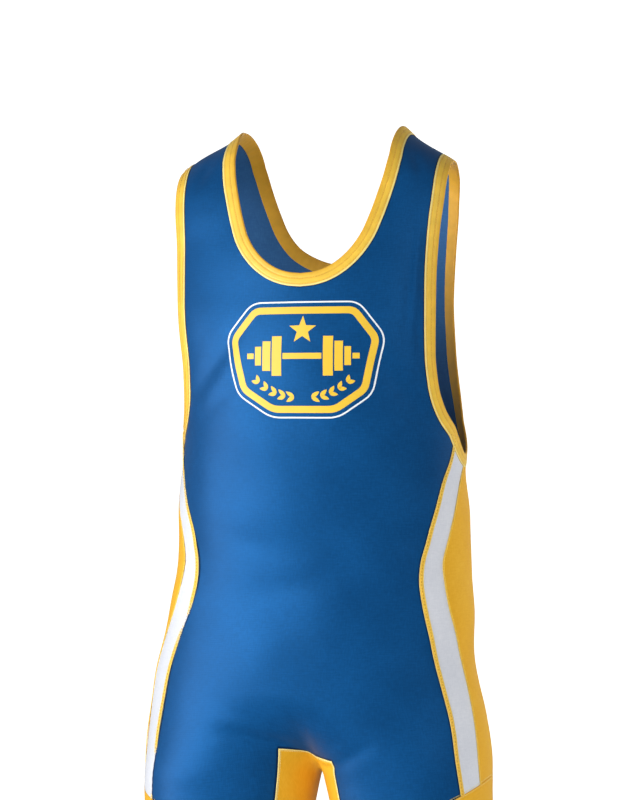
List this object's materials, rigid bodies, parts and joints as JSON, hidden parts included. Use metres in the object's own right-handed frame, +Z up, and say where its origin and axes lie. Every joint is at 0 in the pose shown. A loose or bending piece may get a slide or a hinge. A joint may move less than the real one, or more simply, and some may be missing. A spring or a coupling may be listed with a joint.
{
  "type": "weightlifting singlet",
  "caption": "Worn, empty weightlifting singlet with a scooped neck, bound armholes, side stripes, a crotch gusset and short cuffed legs.",
  "frame": {"origin": "between the shoulder straps, where they are carried, on the garment's middle line", "axes": "+Z up, the garment's front faces -Y, its left side is +X"},
  "size_m": [0.3689, 0.2375, 0.7782],
  "materials": {
    "blue_knit": "satin warp knit of polyester and elastane, dyed royal blue",
    "white_knit": "satin warp knit of polyester and elastane, white",
    "yellow_knit": "satin warp knit of polyester and elastane, golden yellow",
    "yellow_binding": "folded knit binding, golden yellow, sewn with two rows of stitches"
  },
  "bodies": {
    "root": {"front_panel": "blue_knit", "back_panel": "blue_knit", "stripe_left": "white_knit", "stripe_right": "white_knit", "side_left": "yellow_knit", "side_right": "yellow_knit", "gusset": "yellow_knit", "cuff_left": "yellow_knit", "cuff_right": "yellow_knit", "neck_binding": "yellow_binding", "armhole_binding_left": "yellow_binding", "armhole_binding_right": "yellow_binding"}
  },
  "joints": []
}
